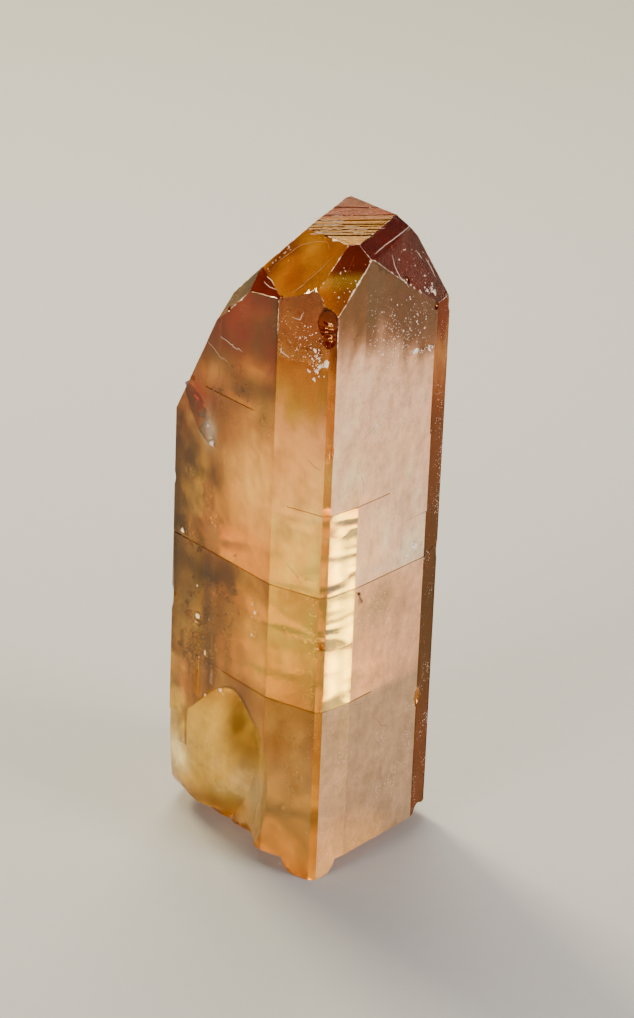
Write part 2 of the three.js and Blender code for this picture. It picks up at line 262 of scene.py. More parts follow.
match = cell_normal @ normals.T
own_angle = math.radians(3.4)           # a cell turned further than this from every face has none
cell_facet = np.where(match.max(axis=1) > math.cos(own_angle), match.argmax(axis=1), -1)
stand_off = cell_centre @ normals.T
plane = np.full(len(names), 99.0)       # mm from the origin; a face without cells is out of reach
for number in range(len(names)):
    own = cell_facet == number
    if own.any():
        plane[number] = stand_off[own, number].max()
ledge = 0.45                            # a cell this many mm behind its face's plane lies in a break
behind = plane[cell_facet] - stand_off[np.arange(len(cell_facet)), cell_facet]
sunk = (cell_facet >= 0) & (behind > ledge) & (cell_facet != names.index("underside"))
cell_facet[sunk] = -1
# The walls of the growth step on the broad left face belong to that face.
from_left = plane[left_face] - stand_off[:, left_face]
in_step_wall = (cell_facet < 0) & (abs(from_left) < 0.5)
in_step_wall &= (cell_centre[:, 2] > 12.6) & (cell_centre[:, 2] < 36.0)
cell_facet[in_step_wall] = left_face
for number, name in enumerate(names):
    print(name, int((cell_facet == number).sum()), round(float(plane[number]), 2), end="; ")
print("broken:", int((cell_facet < 0).sum()))


def on_faces(*chosen):
    """True for each corner on one of the named faces."""
    return np.isin(corner_facet, [names.index(name) for name in chosen])


# %% Coordinates on the faces
# A corner is drawn a little into its own cell, so that it falls on the right side of an edge.
towards_middle = 0.03
corner_facet = cell_facet[corner_cell]
corners = vertices[corner_vertex]
corners = corners + towards_middle * (cell_centre[corner_cell] - corners)
across_face = np.stack([-normals[:, 1], normals[:, 0]], axis=1)
length = np.linalg.norm(across_face, axis=1, keepdims=True)
across_face = np.where(length > 0.1, across_face / np.maximum(length, 0.1), [1.0, 0.0])
side_way = np.append(across_face[left_face], 0.0)
corner_height = corners[:, 2]
# The bulge is broken surface at the left front, over the foot and under the crack, and the face beside it.
in_bulge = (corner_facet < 0) & (corners @ normals[left_face] > 2.5)
in_bulge &= (corner_height > 0.9) & (corner_height < 12.4)
in_bulge |= (corner_facet == left_face) & (corner_height < 12.2) & (corners @ side_way < -4.7)
axes_of = np.where(corner_facet >= 0, corner_facet, left_face)
face_u = (corners[:, :2] * across_face[axes_of]).sum(axis=1)
face_z = np.where(on_faces("terrace", "underside"), corners[:, 1], corners[:, 2])


# %% [markdown]
# Relief. Real faces are not optically flat: they grew in low hillocks and upright steps, and here the
# sides away from the front are the rougher ones. Even a few hundredths of a millimetre bends what is seen
# through the stone into soft patches of light and dark. The relief is cut inwards only, so the crystal
# keeps its size, and a shared edge takes the calmer face's depth.

# %% Relief of the skin
def drift(places, wavelength, seed, waves=26):
    """A smooth random field, mostly -1 to 1: cosine waves of about one length in random directions,
    sum(cos(k . p + phase)) / sqrt(waves)."""
    chance = np.random.default_rng(seed)
    heading = chance.normal(size=(3, waves))
    heading /= np.linalg.norm(heading, axis=0)
    turns = places @ (heading / chance.uniform(0.7, 1.5, waves)) * (2 * np.pi / wavelength)
    return np.cos(turns + chance.uniform(0, 2 * np.pi, waves)).sum(axis=1) / math.sqrt(waves)


def least_around(cell_values):
    """For each vertex, the least of the values of the cells round it."""
    least = np.full(len(vertices), np.inf)
    np.minimum.at(least, corner_vertex, cell_values[corner_cell])
    return least


# The growth step on the broad left face is eased, or its steep walls would show as two bright lines.
step_middle, step_half_width, step_foot = -2.53, 0.88, 12.0
eased_depth, eased_share = 0.036, 0.9
step_depth = plane[left_face] - vertices @ normals[left_face]
in_step = abs(vertices @ side_way - step_middle) < step_half_width
in_step &= (step_depth > 0.03) & (step_depth < 0.13) & (vertices[:, 2] > step_foot)
vertices[in_step] += eased_share * (step_depth[in_step, None] - eased_depth) * normals[left_face]
print("growth step vertices softened:", int(in_step.sum()))

calm_depth, lively_depth, etched_depth, broken_depth = 0.010, 0.055, 0.022, 0.045
lively_faces = ["right_back", "back_right", "back", "back_left", "left_back", "steep_left", "top_back_left",
                "steep_back", "back_dome", "top_back"]
depth = np.full(len(cell_facet), calm_depth)
depth[np.isin(cell_facet, [names.index(name) for name in lively_faces])] = lively_depth
depth[cell_facet == names.index("broad_right")] = etched_depth
# The light of the bright band comes in through this part of the back, so it stays calm.
glow_window = (cell_facet == names.index("back")) & (cell_centre[:, 0] < -0.8)
glow_window &= abs(cell_centre[:, 2] - 20) < 9
depth[glow_window] = calm_depth
depth[cell_facet < 0] = broken_depth
depth[cell_facet == names.index("underside")] = 0.0
upright = vertices * [1.0, 1.0, 0.5]
swell = 0.5 * drift(upright, 1.6, 3) + 0.6 * drift(vertices, 3.2, 4) + 0.15 * drift(vertices, 1.0, 5)
vertex_depth = least_around(depth)
vertex_normal = mesh_array(body_mesh.vertices, "normal", 3)
cut = vertex_depth * np.clip(0.5 + 0.4 * swell, 0, 1.2)

# The chip under the front dome broke like glass, in rings round the blow.
chip_middle, chip_reach = np.array([-0.6, -9.2, 40.9]), 2.6
ring_spacing, ring_depth = 0.42, 0.06
from_chip = np.linalg.norm(vertices - chip_middle, axis=1)
ripple = 0.5 + 0.5 * np.sin(from_chip * 2 * np.pi / ring_spacing + 0.6 * drift(vertices, 1.0, 6))
in_chip = (least_around(np.where(cell_facet < 0, 1.0, 0.0)) > 0) & (from_chip < chip_reach)
cut[in_chip] = ring_depth * ripple[in_chip]
vertices = vertices - vertex_normal * cut[:, None]
body_mesh.vertices.foreach_set("co", (vertices * mm).ravel())
body_mesh.update()
print("relief, mm: mean %.3f, deepest %.3f" % (cut.mean(), cut.max()))


# %% [markdown]
# Colour of the glass. Imperial topaz is zoned as it grew: pale gold to peach in the body and red-orange
# towards the upper end. The zones are soft and follow the faces, so they are painted on the mesh as a
# colour attribute, by height on each face and then in patches, in real millimetres. Many are not the
# stone's own colour but painted light and shade: a bright bank over each cleavage crack and shade beside
# it, the shade of a face that no lamp reaches, and light that inner faces send back, so they suit the
# camera's side best.

# %% Growth zones and painted light and shade
skin_depth = 2.0          # crossings of the skin, each of which tints the light


def tone(code):
    return np.array(linear(code)[:3]) ** skin_depth


def by_height(keys, heights):
    """Blend between the colours of a list of (height, colour) keys."""
    levels = [level for level, _ in keys]
    tones = np.array([tone(code) for _, code in keys])
    return np.stack([np.interp(heights, levels, tones[:, i]) for i in range(3)], axis=1)


body_keys = [(0, "#E6BE7C"), (12, "#E8BE78"), (21, "#E6B870"), (30, "#E6B47C"), (36, "#C07038"),
             (39, "#A04A18"), (46, "#8A3A10")]
# Keys that step at the crack levels, 12.8, 21.2 and 27 mm, are painted light and shade: the bright banks that
# the cleavage films throw, and the darker zones beside them.
keys_of_face = {
    "broad_right": [(0, "#CCB8A0"), (4.5, "#D0BAA4"), (12.7, "#D2BCA4"), (12.8, "#F0CCB0"),
        (21.1, "#F8D4B8"), (21.2, "#FFE8D2"), (27, "#FFE2CA"), (31, "#FFE0C6"), (34, "#FFE0CA"),
        (36.3, "#F8D8BE"), (38.0, "#B89078"), (39.6, "#8C6048"), (42, "#865E4A"), (46, "#8A6C54")],
    "front_strip": [(0, "#DCC4A8"), (4.5, "#E0C8B0"), (12.7, "#E0C8AC"), (12.8, "#FFFFE8"),
        (20.9, "#FFFFE0"), (21.3, "#FFFFF4"), (27.0, "#FFFFF0"), (27.2, "#FFE8D0"), (31, "#FFE4CC"),
        (34.5, "#FFE4CE"), (37.4, "#FCDCC4"), (39.0, "#C09C84"), (40.4, "#98745A"), (46, "#806048")],
    "front": [(0, "#FFD888"), (10, "#FFD084"), (17, "#FFE8A4"), (30, "#FFDCA0"), (34, "#F4C084"),
        (38, "#B07848")],
    "left_strip": [(0, "#DCA468"), (2, "#D8BC88"), (4, "#D8C090"), (7, "#E4C898"), (9.8, "#CCB088"),
        (12.7, "#C8AC78"), (12.8, "#DCBC7C"), (17.5, "#FFE890"), (21.1, "#FFDC8C"), (21.2, "#FFEC9C"),
        (24.9, "#FFE49C"), (27.6, "#FFDCA0"), (30, "#FFD8A0"), (32.7, "#F0C8A0"), (34.5, "#D4B470"),
        (37.2, "#CCA064"), (38.6, "#B47C40"), (40.3, "#AC5C28"), (41.3, "#A04008"), (46, "#983400")],
    "broad_left": [(0, "#B88C48"), (9, "#C49C5C"), (12.7, "#BC9858"), (13.7, "#D4B468"),
        (16.6, "#CCA85C"), (19, "#A07C3C"), (21.1, "#946C2C"), (21.2, "#E8BC68"), (25, "#F0C470"),
        (28.5, "#F0C480"), (31.5, "#C89C64"), (34, "#9C7C4C"), (36.3, "#986020"), (37.6, "#A03000"),
        (46, "#902800")],
    "gold": [(40, "#D8AC64"), (43, "#FFD85C"), (46, "#ECBC44")],
    "terrace": [(-10, "#FFDC68"), (-2.4, "#FFD058"), (-1.0, "#E08810"), (5, "#B86000")],
    "front_dome": [(38, "#C89850"), (41.8, "#E4B058"), (42.6, "#ECBC60"), (43.1, "#FFF09C"),
        (43.35, "#F0D080"), (43.5, "#C87C4C"), (46, "#C06C44")],
    "sliver": [(36, "#B08C60"), (38.7, "#A88450"), (40, "#846C40"), (41.6, "#443410")],
    "top_right": [(40, "#A03800"), (46, "#A85018")],
    "steep_right": [(40, "#A82800"), (46, "#AC4018")],
    # The right face's orange-brown is the stone's own; its darkness is painted shade, as if no lamp lit that
    # face.
    "right": [(0, "#945C1C"), (7.6, "#945C20"), (14, "#805C28"), (20, "#825820"), (31.5, "#9C6024"),
        (33, "#B07848"), (35.5, "#C89C70"), (36.6, "#BC9068"), (37.6, "#9C4818"), (46, "#943408")],
}
x, y, z = corners.T
ragged = 0.55 * drift(corners * [1.0, 1.0, 0.25], 1.5, 41)
ragged = ragged + 0.3 * drift(corners * [1.0, 1.0, 0.3], 0.7, 42)
ragged *= np.clip((z - 29) / 4, 0, 1) * ~on_faces("gold", "front_dome", "terrace")
ragged += on_faces("broad_right") * 0.28 * (face_u + 1) * np.clip((z - 33) / 3, 0, 1)
tint = by_height(body_keys, z)
for name, keys in keys_of_face.items():
    here = on_faces(name)
    tint[here] = by_height(keys, (face_z + ragged)[here])
tint[in_bulge] = tone("#ECD480")
print("zoned faces:", len(keys_of_face))


# %% Patches on the faces: the stone's colour, painted light and painted shade
def edge_distance():
    """For each corner, the distance in mm to the nearest edge of its own face: how far it lies behind the
    neighbour's plane, over the sine of the angle between the two faces."""
    slack = np.maximum(plane - corners @ normals.T, 0)
    sine = np.sqrt(np.maximum(1 - (normals @ normals.T) ** 2, 0))[np.maximum(corner_facet, 0)]
    return np.where(sine > 0.15, slack / np.maximum(sine, 0.15), 99).min(axis=1)


def patch(where, centre, half_size, code, share, edge=2.0, lean=0.0):
    """Blend a ragged patch into the tint. It falls off past its half size, the faster the larger edge is."""
    across, up = face_u - centre[0], face_z - centre[1]
    distance = np.hypot(across / half_size[0], (up - lean * across) / half_size[1])
    distance = np.maximum(distance + raggedness * patch_wobble, 0)
    blend = where * share * np.exp(-half_fall * distance ** edge)
    tint[:] = tint + blend[:, None] * (tone(code) - tint)


raggedness, half_fall = 0.22, 0.69      # at a distance of one, exp(-0.69) leaves half of the patch
patch_wobble = drift(corners, 1.3, 21) + 0.5 * drift(corners, 0.6, 22)
left, strip_left = on_faces("broad_left"), on_faces("left_strip")
right_wide, strip_right = on_faces("broad_right"), on_faces("front_strip")
# Patches on the broad left face. Many are painted light and shade: bright just over a cleavage crack, shadow
# under one, and mirror images sent back from within.
for spot in [
    # The far side of the face looks into shadow.
    ((-6.3, 25.0), (2.5, 5.0), "#6A4818", 0.92, 3),
    ((-1.6, 38.0), (1.8, 1.6), "#9C1C00", 0.9),  # red end shining through the far edge
    # Dark olive mirror image beside the upper edge.
    ((4.4, 39.6), (0.8, 2.6), "#583000", 0.95, 5),
    ((2.5, 37.6), (0.9, 1.8), "#886E3C", 0.8),
    ((1.4, 33.9), (1.7, 0.4), "#4C2C08", 0.85, 2, 0.12),  # smoky streaks under the red end
    ((3.2, 34.9), (1.4, 0.5), "#503008", 0.8, 2, -0.1),
    ((4.5, 33.6), (0.8, 0.7), "#C09C60", 0.7),
    ((2.2, 35.8), (1.2, 0.5), "#F0C078", 0.85),
    ((-2.3, 33.7), (1.1, 0.8), "#E8B480", 0.85),
    ((-1.8, 31.2), (1.7, 1.2), "#8A7044", 0.7),
    ((-4.0, 31.9), (1.5, 1.5), "#B83800", 0.95, 3),  # red-brown depth along the far edge
    ((-5.9, 28.5), (1.3, 2.2), "#7C2000", 0.95, 3),
    ((0.2, 30.0), (1.4, 1.5), "#A87440", 0.85),
    ((-3.3, 29.3), (0.8, 0.9), "#A87C4C", 0.6),
    ((-2.9, 30.0), (0.5, 0.9), "#FFFFF0", 0.95),  # clear over the crack that shows colours
    ((-2.2, 27.0), (1.2, 1.6), "#6A4410", 0.95),
    ((-4.9, 27.2), (1.5, 1.8), "#481C00", 0.98, 3),
    ((-5.3, 23.8), (1.3, 1.1), "#5C4410", 0.95),
    ((-1.9, 22.8), (1.4, 0.8), "#FFC480", 0.9),
    ((-5.8, 22.2), (0.8, 0.7), "#583000", 0.9),
    ((-4.2, 19.3), (2.4, 1.2), "#301800", 0.98, 3),  # shadow under the middle cleavage crack
    ((0.0, 20.0), (1.4, 0.8), "#5C3C08", 0.9),
    ((2.9, 18.2), (1.2, 2.2), "#FFD468", 0.9),
    ((3.6, 15.6), (0.9, 2.2), "#FFE06C", 0.9),
    ((-5.0, 16.6), (1.2, 2.4), "#704C18", 0.9),
    ((-1.6, 16.4), (1.4, 1.6), "#927E4C", 0.7),
    ((-1.9, 18.3), (0.5, 0.5), "#D0A868", 0.8),
    ((-4.4, 12.9), (1.8, 0.8), "#BC9C5C", 0.8),
    ((2.8, 27.6), (2.0, 3.0), "#FFD890", 0.9),  # peach glow in the middle of the body
]:
    patch(left, *spot)
patch(strip_left, (3.0, 29.4), (2.0, 2.4), "#F8CC94", 0.7)
patch(strip_left, (3.2, 40.2), (0.7, 0.6), "#B88C5C", 0.6)
patch(strip_left, (3.2, 9.6), (0.9, 1.4), "#B09058", 0.6)
for spot in [
    ((-4.0, 41.2), (1.6, 2.2), "#86705C", 0.8, 3),  # violet-brown upper corner: the stone's brown under a painted grey sheen
    ((0.8, 39.6), (2.4, 1.8), "#8A5642", 0.9, 4),
    ((2.3, 37.6), (1.6, 1.0), "#92705C", 0.7),
    ((2.3, 22.4), (1.3, 0.8), "#FFF6DC", 0.8),
    ((-1.6, 19.2), (2.0, 1.2), "#D2B894", 0.7),
]:
    patch(right_wide, *spot)
for spot in [
    ((2.9, 44.0), (0.8, 0.6), "#AC8034", 0.9),
    ((2.0, 43.0), (0.6, 1.6), "#A86C3C", 0.9, 3),
    ((5.3, 44.4), (0.8, 0.4), "#F0BC40", 0.8),
    ((4.6, 42.7), (0.9, 0.6), "#ECAC44", 0.8),
]:
    patch(on_faces("gold"), *spot)
# Patches on the bulge, mostly painted light and shade: lightest in its middle, a painted highlight at its
# left edge, painted shade in narrow strips along the groove.
for spot in [
    ((-2.6, 6.6), (1.6, 2.2), "#FFE8A0", 0.9),  # painted light: the bulge is lightest in its middle
    # painted highlight at the bulge's left edge
    ((-5.8, 4.4), (1.0, 1.2), "#FFF4C8", 1.0),
    ((-5.0, 10.6), (1.4, 1.4), "#DCA058", 0.9),
    ((0.8, 3.6), (1.8, 1.4), "#FFF4D0", 0.9),
    # painted shade where the bulge rolls into the groove
    ((-0.6, 8.6), (0.7, 2.4), "#8C6830", 0.9),
    ((-3.4, 10.4), (2.2, 0.8), "#D0A058", 0.8),
    # painted shade along the groove
    ((0.5, 6.5), (0.6, 3.0), "#A08450", 0.7),
    ((3.4, 5.0), (1.6, 4.6), "#C4A884", 0.8),
]:
    patch(in_bulge, *spot)
# Painted shade in the notch at the top of the groove.
patch(left, (2.2, 11.6), (0.9, 1.5), "#7C4C1C", 0.7)
patch(in_bulge, (-3.0, 1.4), (4.5, 0.7), "#CCA070", 0.7)

behind_stone = on_faces("right_back", "back_right", "back", "back_left", "left_back")
blotch = drift(corners * [1.0, 1.0, 0.7], 3.4, 33) + 0.6 * drift(corners, 1.5, 34)
low_part = np.clip((22 - z) / 6, 0, 1) * np.clip((corners[:, 0] + 7) / 5, 0.3, 1)
dark_blotch = behind_stone * np.clip(blotch - 0.1, 0, 1) * (0.25 + 0.6 * low_part)
tint += dark_blotch[:, None] * (tone("#8A6230") - tint)
pale_blotch = behind_stone * np.clip(-blotch - 0.3, 0, 1) * 0.9
tint += pale_blotch[:, None] * (tone("#FFF4D0") - tint)
patch(strip_right, (-3.5, 19.8), (0.7, 9.0), "#E8D09C", 0.6)
patch(on_faces("back"), (2.4, 19.8), (1.5, 8.4), "#FFFAE8", 1.0, 6)    # clear growth, which lets light in
edge_gap = edge_distance()
dark_width = 0.35                       # painted shade: the edges of the far side look dark from within
far_edge_shade = behind_stone * np.exp(-(edge_gap / dark_width) ** 2)
tint += 0.85 * far_edge_shade[:, None] * (tone("#6A4010") - tint)
cloud = drift(corners * [1.0, 1.0, 0.7], 2.0, 31)
fine_cloud = drift(corners, 0.8, 32)
shade = 1 - 0.12 * np.clip(cloud, -1.5, 1.5) - 0.11 * np.clip(fine_cloud, -1.5, 1.5)
dark_side = np.clip((0.6 - face_u) / 3.0, 0, 1) * (left & (z < 26))
shade -= 0.34 * dark_side * np.clip(0.7 * cloud + 0.6 * fine_cloud, -1.4, 1.4)
tint = np.clip(tint * shade[:, None], 0, 1)


# %% [markdown]
# Finish of the glass. Three things change from face to face: how milky the stone is just under the skin,
# how much its surface is etched, and how worn its edges are. Wear follows the distance to the nearest
# edge.

# %% Milkiness, etching and wear
glow_band = strip_right & (z > 12.75) & (z < 27.1)       # the clear growth between two cleavage cracks
milk = np.full(len(z), 0.14)
milk[right_wide | strip_right] = 0.62
milk[glow_band] = 0.12
milk[on_faces("right")] = 0.85
haze = np.exp(-((z - 28.5) / 5.0) ** 2) * np.clip((face_u + 3.5) / 3.5, 0, 1)
milk += on_faces("broad_left", "left_strip") * (0.42 * haze + 0.14 * np.clip((face_u + 1) / 4, 0, 1))
milk[on_faces("sliver")] = 0.6
milk[on_faces("gold", "front_dome", "top_right", "steep_right")] = 0.12
milk[left & (z > 36.0)] = 0.04
milk[on_faces("terrace")] = 0.40
milk[in_bulge] = 0.35
milk[in_bulge & (face_u > 2.0)] = 0.6
# Painted highlight: a bright milky spot at the bulge's left edge.
milk[in_bulge] += 0.55 * np.exp(-((face_u + 5.8) / 1.0) ** 2 - ((z - 4.4) / 1.3) ** 2)[in_bulge]
etch = np.full(len(z), 0.10)
etch[right_wide | strip_right] = 0.8
etch[on_faces("right", "sliver")] = 1.0
etch[glow_band] = 0.08
etch[on_faces("steep_right", "top_right")] = 0.35
etch[on_faces("left_back", "back_left")] = 0.7
etch[on_faces("back") & (face_u > 0.9) & (z > 12.0) & (z < 28.0)] = 0.08
etch[on_faces("left_strip") & (z > 37.5)] = 0.7
etch[on_faces("gold", "front_dome")] = 0.18
etch[in_bulge] = 0.3
wear = 0.42 * np.exp(-edge_gap / 0.12)
top_edge = np.clip((z - 36.0) / 3.0, 0, 1) * (corner_facet >= 0)        # upper edges are bruised most
wear = np.maximum(wear, 0.63 * top_edge * np.exp(-edge_gap / 0.13))
wear[(corner_facet < 0) & ~in_bulge] = 0.42
wear[behind_stone | ((corner_facet < 0) & (corners[:, 1] > 1.0) & (z > 2.0) & (z < 38.0))] = 0.0
finish = np.clip(np.stack([milk, etch, wear], axis=1), 0, 1)


def write_colour(mesh, name, values):
    layer = mesh.color_attributes.new(name, "FLOAT_COLOR", "CORNER")
    layer.data.foreach_set("color", np.concatenate([values, np.ones((len(values), 1))], axis=1).ravel())


write_colour(body_mesh, "growth_tint_and_painted_light", tint)
write_colour(body_mesh, "finish", finish)
print("corners painted:", len(tint))


# %% [markdown]
# Topaz itself: an aluminium fluorosilicate, clear, with refractive index 1.61 to 1.64. Light that enters
# is bent, mirrored from the far faces and tinted by the depth it has crossed, so the material is
# transmission with the true IOR and plain absorption in the volume. Where the attributes say so it turns
# milky, satin with etching, or white and rough along bruised edges. One value is not topaz's own: mirror
# light is tinted gold, which a real stone's is not, because the pale floor would lay a grey veil over the
# faces.

# %% Topaz
def millimetres(tree, upright=1.0):
    """Places in mm for a texture. A small upright share draws the pattern out along the crystal."""
    where = add(tree, "TexCoord")
    scaled = add(tree, "Mapping", Vector=where.outputs["Object"], Scale=(1 / mm, 1 / mm, upright / mm))
    return scaled.outputs[0]


def maths(tree, operation, *values):
    """The output of a math node whose inputs are values or sockets."""
    inputs = {"i%d" % place: value for place, value in enumerate(values)}
    return add(tree, "Math", {"operation": operation}, **inputs).outputs[0]


topaz, tree = new_material("imperial_topaz")
in_mm = millimetres(tree)
upright_mm = millimetres(tree, upright=0.16)
zones = add(tree, "Attribute", {"attribute_name": "growth_tint_and_painted_light"})
finish_layer = add(tree, "Attribute", {"attribute_name": "finish"})
amount = add(tree, "SeparateColor", i0=finish_layer.outputs["Color"])
milk_share, etch_share, wear_share = amount.outputs

etch_noise = add(tree, "TexNoise", Vector=in_mm, Scale=1.5, Detail=8.0, Roughness=0.8)
streak_noise = add(tree, "TexNoise", Vector=upright_mm, Scale=3.0, Detail=3.0)
pit_cells = add(tree, "TexVoronoi", Vector=in_mm, Scale=1.7, Randomness=1.0)
pits = add(tree, "MapRange", Value=pit_cells.outputs["Distance"], i1=0.05, i2=0.16, i3=1.0, i4=0.0)
speck_cells = add(tree, "TexVoronoi", Vector=in_mm, Scale=5.0, Randomness=1.0)
speck_size = add(tree, "TexNoise", Vector=in_mm, Scale=0.5)
speck_limit = add(tree, "MapRange", Value=speck_size.outputs["Fac"], i1=0.40, i2=0.66, i3=0.0, i4=0.24)
specks = maths(tree, "LESS_THAN", speck_cells.outputs["Distance"], speck_limit.outputs[0])
speck_share = maths(tree, "MULTIPLY", specks, etch_share)

bruise_noise = add(tree, "TexNoise", Vector=in_mm, Scale=1.7, Detail=6.0, Roughness=0.8)
bruise_level = maths(tree, "ADD", bruise_noise.outputs["Fac"], wear_share)
bruise = add(tree, "MapRange", Value=bruise_level, i1=1.02, i2=1.12, i3=0.0, i4=1.0)
white_share = maths(tree, "MAXIMUM", bruise.outputs[0], speck_share)

grain_sum = maths(tree, "MULTIPLY_ADD", streak_noise.outputs["Fac"], 0.18, etch_noise.outputs["Fac"])
grain = add(tree, "MapRange", Value=grain_sum, i1=0.40, i2=0.80, i3=0.62, i4=1.34)
grain_amount = maths(tree, "MULTIPLY_ADD", etch_share, 0.75, 0.25)
grain_share = add(tree, "Mix", {"data_type": "FLOAT"}, i0=grain_amount, i2=1.0, i3=grain.outputs[0])
shaded = add(tree, "VectorMath", {"operation": "SCALE"}, i0=zones.outputs["Color"],
             Scale=grain_share.outputs[0])
worn = add(tree, "MixRGB", Fac=white_share, Color1=shaded.outputs[0], Color2=linear("#FFE6C8"))

clouded = maths(tree, "MAXIMUM", milk_share, white_share)
clear = maths(tree, "SUBTRACT", 1.0, clouded)
deep_etch = maths(tree, "POWER", etch_share, 9.0)
deep_rough = maths(tree, "MULTIPLY_ADD", deep_etch, 0.45, 0.02)
etch_rough = maths(tree, "MULTIPLY_ADD", etch_share, 0.32, deep_rough)
rough = maths(tree, "MULTIPLY_ADD", white_share, 0.25, etch_rough)
height_pits = maths(tree, "MULTIPLY_ADD", pits.outputs[0], -0.5, etch_noise.outputs["Fac"])
height_sum = maths(tree, "MULTIPLY_ADD", streak_noise.outputs["Fac"], 0.3, height_pits)
height_share = maths(tree, "MULTIPLY_ADD", white_share, 0.6, etch_share)
relief = add(tree, "Bump", Strength=height_share, Distance=0.14 * mm, Height=height_sum)
glass = add(tree, "BsdfPrincipled", Base_Color=worn.outputs[0], Roughness=rough, IOR=1.62,
            Transmission_Weight=clear, Normal=relief.outputs[0], Specular_Tint=linear("#FFC068"))
depth_tint = add(tree, "VolumeAbsorption", Color=linear("#FBE445"), Density=100.0)
add(tree, "OutputMaterial", Surface=glass.outputs[0], Volume=depth_tint.outputs[0])
body_mesh.materials.clear()
body_mesh.materials.append(topaz)
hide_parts("topaz_crystal")
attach(body, "root")


# %% [markdown]
# Cleavage films. Topaz splits perfectly square to its length, and a knock starts cracks that run in from
# the sides without parting the stone. The film of air in one mirrors everything above it at a low angle,
# which makes a bright bank over each crack. Each is a thin lens: a polar grid cut to the prism's own
# outline. Its IOR of 2.0 and half metallic share are not air's own: they make so thin a lens mirror as a
# crack does.

# %% Cleavage films
def small_piece(name, places, faces, welded=False):
    """A piece of the stone from places in mm and faces, which are turned outwards."""
    mesh = bpy.data.meshes.new(name)
    mesh.from_pydata((places * mm).tolist(), [], faces)
    fix = bmesh.new()
    fix.from_mesh(mesh)
    if welded:
        bmesh.ops.remove_doubles(fix, verts=fix.verts, dist=weld)
    bmesh.ops.recalc_face_normals(fix, faces=fix.faces)
    fix.to_mesh(mesh)
    fix.free()
    piece = place_in_scene(bpy.data.objects.new(name, mesh))
    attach(piece, "root")
    return piece


def thin_sheet(name, grid, thickness, wrap):
    """A closed sheet: a grid of places in mm, a copy one thickness below and the walls."""
    rows, columns = grid.shape[:2]
    count = rows * columns
    places = np.concatenate([grid.reshape(-1, 3), grid.reshape(-1, 3) - thickness])
    index = np.arange(count).reshape(rows, columns)
    following = np.roll(index, -1, axis=1) if wrap else index[:, 1:]
    current = index if wrap else index[:, :-1]
    a, b, c, d = current[:-1], following[:-1], following[1:], current[1:]
    top = np.stack([a, d, c, b], axis=-1).reshape(-1, 4)
    quads = [top, top[:, ::-1] + count]
    rim_pairs = [(current[-1], following[-1])]
    if not wrap:
        rim_pairs.append((following[0], current[0]))
        rim_pairs += [(index[:-1, 0], index[1:, 0]), (index[1:, -1], index[:-1, -1])]
    quads += [np.stack([p, p + count, q + count, q], axis=-1).reshape(-1, 4) for p, q in rim_pairs]
    piece = small_piece(name, places, np.concatenate(quads).tolist(), welded=True)
    piece.data.shade_smooth()
    piece.data.set_sharp_from_angle(angle=math.radians(40))
    return piece


upright_faces = names[:names.index("gold")]
side_normals = normals[[names.index(name) for name in upright_faces], :2]
side_planes = plane[[names.index(name) for name in upright_faces]]


def cleavage_film(name, level, centre, radii, seed, turn=0.0, inset=0.14):
    """A lens round a centre. Its reach on each bearing is the lesser of a wobbly ellipse, turned by some
    degrees, and the prism's side, and its opening is 0.03 mm * sqrt(1 - share ** 2) along that reach."""
    chance = np.random.default_rng(seed)
    rings, spokes = 26, 144
    bearing = np.linspace(0, 2 * np.pi, spokes, endpoint=False)
    rays = np.stack([np.cos(bearing), np.sin(bearing)], axis=1)
    waves = np.arange(2, 11)
    swing = chance.normal(0, 0.2, len(waves)) / waves
    wobble = 1 + (swing * np.cos(bearing[:, None] * waves + chance.uniform(0, 6.3, len(waves)))).sum(axis=1)
    own = bearing - math.radians(turn)
    ellipse = wobble / np.hypot(np.cos(own) / radii[0], np.sin(own) / radii[1])
    facing = rays @ side_normals.T
    room = (side_planes - inset - np.array(centre) @ side_normals.T) / np.where(facing > 1e-3, facing, 1e-3)
    reach_out = np.minimum(ellipse, np.where(facing > 1e-3, room, 99).min(axis=1))
    share = np.linspace(0.02, 1, rings)[:, None]
    plan_x, plan_y = centre[0] + share * reach_out * rays[:, 0], centre[1] + share * reach_out * rays[:, 1]
    flat = np.stack([plan_x, plan_y, np.full(plan_x.shape, level)], axis=-1)
    flat[..., 2] += 0.05 * drift(flat.reshape(-1, 3), 5.0, seed + 50).reshape(plan_x.shape)
    opening = 0.03 * np.sqrt(1.001 - share ** 2)[..., None] * [0, 0, 1] * np.ones(flat.shape)
    return thin_sheet(name, flat, opening.reshape(-1, 3), wrap=True)


films = [
    cleavage_film("cleavage_film_lower", 12.75, (-1.0, -1.5), (8.0, 8.6), 71),
    cleavage_film("cleavage_film_middle", 21.15, (0.2, -1.5), (9.5, 9.5), 72),
    cleavage_film("cleavage_film_upper", 27.1, (1.2, -8.2), (3.0, 1.6), 73, turn=46),
    cleavage_film("cleavage_film_left", 32.9, (-5.6, -2.6), (1.6, 2.4), 74),
    cleavage_film("cleavage_feather_low", 17.1, (-0.8, -0.8), (1.7, 8.6), 75, turn=9.5),
    cleavage_film("cleavage_feather_high", 25.2, (-0.1, -4.9), (1.6, 4.4), 76, turn=9.5),
]
film_stuff, tree = new_material("air_film_in_cleavage")
healed = add(tree, "TexNoise", Vector=millimetres(tree), Scale=0.9, Detail=5.0, Roughness=0.65)
film_rough = add(tree, "MapRange", Value=healed.outputs["Fac"], i1=0.4, i2=0.65, i3=0.02, i4=0.09)
film_bump = add(tree, "Bump", Strength=0.05, Distance=0.05 * mm, Height=healed.outputs["Fac"])
air = add(tree, "BsdfPrincipled", Base_Color=linear("#FFF8E8"), Roughness=film_rough.outputs[0], IOR=2.0,
          Metallic=0.5, Transmission_Weight=1.0, Normal=film_bump.outputs[0])
add(tree, "OutputMaterial", Surface=air.outputs[0])
for piece in films:
    piece.data.materials.append(film_stuff)
print("films:", [len(piece.data.polygons) for piece in films])
